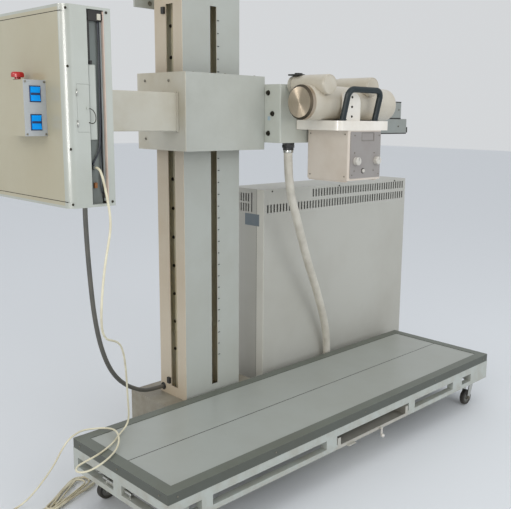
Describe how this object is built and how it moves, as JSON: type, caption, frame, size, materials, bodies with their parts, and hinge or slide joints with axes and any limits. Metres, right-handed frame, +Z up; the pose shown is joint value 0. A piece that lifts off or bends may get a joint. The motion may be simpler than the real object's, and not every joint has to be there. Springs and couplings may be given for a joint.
{
  "type": "containerized x-ray unit",
  "caption": "Column stand with a counterweighted carriage, receptor cabinet and tube head, with a low patient trolley and a high-voltage generator cabinet.",
  "frame": {"origin": "on the floor under the middle of the whole unit's box, cords left out", "axes": "+Z up, +X along the wall from the receptor to the generator, -Y towards the operator"},
  "size_m": [2.478, 0.906, 2.258],
  "materials": {
    "column_paint": "satin cream paint",
    "column_cover_paint": "satin pale green-grey paint",
    "carriage_paint": "fine textured grey paint",
    "cabinet_paint": "fine textured tan paint",
    "cabinet_trim": "satin pale green-grey paint",
    "receptor_case": "matt grey",
    "window_plate": "satin",
    "control_grey": "satin blue-grey",
    "rocker_blue": "gloss",
    "stop_red": "satin",
    "steel": "brushed",
    "bright_steel": "plated",
    "weight_iron": "matt dark paint",
    "black_rubber": "matt",
    "shoe_plastic": "matt",
    "tube_paint": "gloss cream enamel",
    "cast_paint": "cast, cream enamel",
    "collimator_paint": "satin pinkish cream",
    "collimator_face": "satin",
    "handle_slate": "semi matt",
    "knob_white": "gloss",
    "button_black": "satin",
    "clear_plate": "clear",
    "tube_glass": "clear",
    "generator_paint": "fine textured grey paint",
    "cable_dark": "satin dark grey",
    "frame_white": "gloss white enamel",
    "band_grey": "satin",
    "panel_laminate": "satin laminate",
    "hose_beige": "matt",
    "cord_white": "satin"
  },
  "bodies": {
    "base": {"column_body": "column_paint", "column_front_cover": "column_cover_paint", "column_head": "column_paint", "guide_rails": "steel", "base_plinth": "column_cover_paint", "wall_bracket": "column_paint", "lift_cable": "steel", "generator_body": "generator_paint", "generator_cover": "generator_paint", "supply_cable": "cable_dark", "cable_entry": "generator_paint", "table_frame": "frame_white", "table_band": "band_grey", "table_panels": "panel_laminate", "hose": "hose_beige", "receptor_cord": "cord_white", "cord_hank": "cord_white", "cord_plug": "knob_white"},
    "counterweight": {"counterweight": "weight_iron"},
    "head_pulley": {"head_pulley": "steel"},
    "carriage": {"carriage_shell": "carriage_paint", "carriage_front_cover": "carriage_paint", "guide_shoes": "shoe_plastic", "receptor_arm": "tube_paint", "cabinet_frame": "cabinet_trim", "cabinet_cover": "cabinet_paint", "cabinet_window": "window_plate", "receptor_panel": "receptor_case", "control_box": "cabinet_paint", "control_plate": "control_grey", "yoke_box": "carriage_paint", "arm_bars": "tube_paint", "hose_gland": "button_black"},
    "service_door": {"service_door": "cabinet_trim"},
    "rocker_upper": {"rocker_upper": "rocker_blue"},
    "rocker_lower": {"rocker_lower": "rocker_blue"},
    "stop_button": {"stop_button": "stop_red"},
    "tube_head": {"head_bracket": "cast_paint", "tube_housing": "tube_paint", "tube_end_cap": "steel", "tube_end_ring": "black_rubber", "horn_collars": "knob_white", "tube_insert": "tube_glass", "tube_handle": "handle_slate", "collimator_housing": "collimator_paint", "collimator_panel": "collimator_face", "collimator_window": "clear_plate"},
    "knob_left": {"knob_left": "knob_white"},
    "knob_right": {"knob_right": "knob_white"},
    "lamp_button": {"lamp_button": "button_black"},
    "cassette_tray": {"cassette_tray": "generator_paint"},
    "tray_lever": {"tray_lever": "knob_white"},
    "castor_fork_1": {"castor_fork_1": "bright_steel"},
    "castor_wheel_1": {"castor_wheel_1": "black_rubber"},
    "castor_fork_2": {"castor_fork_2": "bright_steel"},
    "castor_wheel_2": {"castor_wheel_2": "black_rubber"},
    "castor_fork_3": {"castor_fork_3": "bright_steel"},
    "castor_wheel_3": {"castor_wheel_3": "black_rubber"},
    "castor_fork_4": {"castor_fork_4": "bright_steel"},
    "castor_wheel_4": {"castor_wheel_4": "black_rubber"}
  },
  "joints": [
    {"name": "lift", "type": "slide", "parent": "base", "child": "carriage", "axis": [0, 0, 1], "range_m": [-0.65, 0.23], "deforming": ["hose", "supply_cable", "receptor_cord", "lift_cable"]},
    {"name": "counterweight_slide", "type": "slide", "parent": "base", "child": "counterweight", "axis": [0, 0, 1], "range_m": [-0.235, 0.655]},
    {"name": "pulley_turn", "type": "hinge", "parent": "base", "child": "head_pulley", "pos_m": [-0.201, 0.252, 2.15], "axis": [1, 0, 0], "range_deg": [-270, 750]},
    {"name": "tube_swivel", "type": "hinge", "parent": "carriage", "child": "tube_head", "pos_m": [0.264, -0.02, 1.441], "axis": [0, 1, 0], "range_deg": [-90, 90]},
    {"name": "knob_left_turn", "type": "hinge", "parent": "tube_head", "child": "knob_left", "pos_m": [0.1995, -0.26, 1.253], "axis": [0, 1, 0], "range_deg": [-150, 150]},
    {"name": "knob_right_turn", "type": "hinge", "parent": "tube_head", "child": "knob_right", "pos_m": [0.3345, -0.26, 1.253], "axis": [0, 1, 0], "range_deg": [-150, 150]},
    {"name": "lamp_press", "type": "slide", "parent": "tube_head", "child": "lamp_button", "axis": [0, 1, 0], "range_m": [0, 0.003], "stiffness_N_per_m": 300},
    {"name": "stop_press", "type": "slide", "parent": "carriage", "child": "stop_button", "axis": [0, 0, -1], "range_m": [0, 0.004]},
    {"name": "rocker_upper_tilt", "type": "hinge", "parent": "carriage", "child": "rocker_upper", "pos_m": [-1.208, -0.293, 1.478], "axis": [1, 0, 0], "range_deg": [-6, 6]},
    {"name": "rocker_lower_tilt", "type": "hinge", "parent": "carriage", "child": "rocker_lower", "pos_m": [-1.208, -0.293, 1.404], "axis": [1, 0, 0], "range_deg": [-6, 6]},
    {"name": "door_hinge", "type": "hinge", "parent": "carriage", "child": "service_door", "pos_m": [-1.144, -0.399, 1.4425], "axis": [0, 0, -1], "range_deg": [0, 110]},
    {"name": "tray_slide", "type": "slide", "parent": "base", "child": "cassette_tray", "axis": [0, -1, 0], "range_m": [0, 0.35]},
    {"name": "lever_turn", "type": "hinge", "parent": "cassette_tray", "child": "tray_lever", "pos_m": [0.202, -0.436, 0.138], "axis": [0, 1, 0], "range_deg": [-35, 35]},
    {"name": "castor_swivel_1", "type": "hinge", "parent": "base", "child": "castor_fork_1", "pos_m": [-0.823, -0.372, 0.125], "axis": [0, 0, 1], "continuous": true},
    {"name": "castor_roll_1", "type": "hinge", "parent": "castor_fork_1", "child": "castor_wheel_1", "pos_m": [-0.797, -0.372, 0.0375], "axis": [0, 1, 0], "continuous": true},
    {"name": "castor_swivel_2", "type": "hinge", "parent": "base", "child": "castor_fork_2", "pos_m": [1.027, -0.372, 0.125], "axis": [0, 0, 1], "continuous": true},
    {"name": "castor_roll_2", "type": "hinge", "parent": "castor_fork_2", "child": "castor_wheel_2", "pos_m": [1.001, -0.372, 0.0375], "axis": [0, 1, 0], "continuous": true},
    {"name": "castor_swivel_3", "type": "hinge", "parent": "base", "child": "castor_fork_3", "pos_m": [-0.823, 0.098, 0.125], "axis": [0, 0, 1], "continuous": true},
    {"name": "castor_roll_3", "type": "hinge", "parent": "castor_fork_3", "child": "castor_wheel_3", "pos_m": [-0.797, 0.098, 0.0375], "axis": [0, 1, 0], "continuous": true},
    {"name": "castor_swivel_4", "type": "hinge", "parent": "base", "child": "castor_fork_4", "pos_m": [1.027, 0.098, 0.125], "axis": [0, 0, 1], "continuous": true},
    {"name": "castor_roll_4", "type": "hinge", "parent": "castor_fork_4", "child": "castor_wheel_4", "pos_m": [1.001, 0.098, 0.0375], "axis": [0, 1, 0], "continuous": true}
  ],
  "couplings": [
    {"joint": "counterweight_slide", "follows": "lift", "ratio": -1},
    {"joint": "pulley_turn", "follows": "lift", "rad_per_m": -19.881}
  ]
}
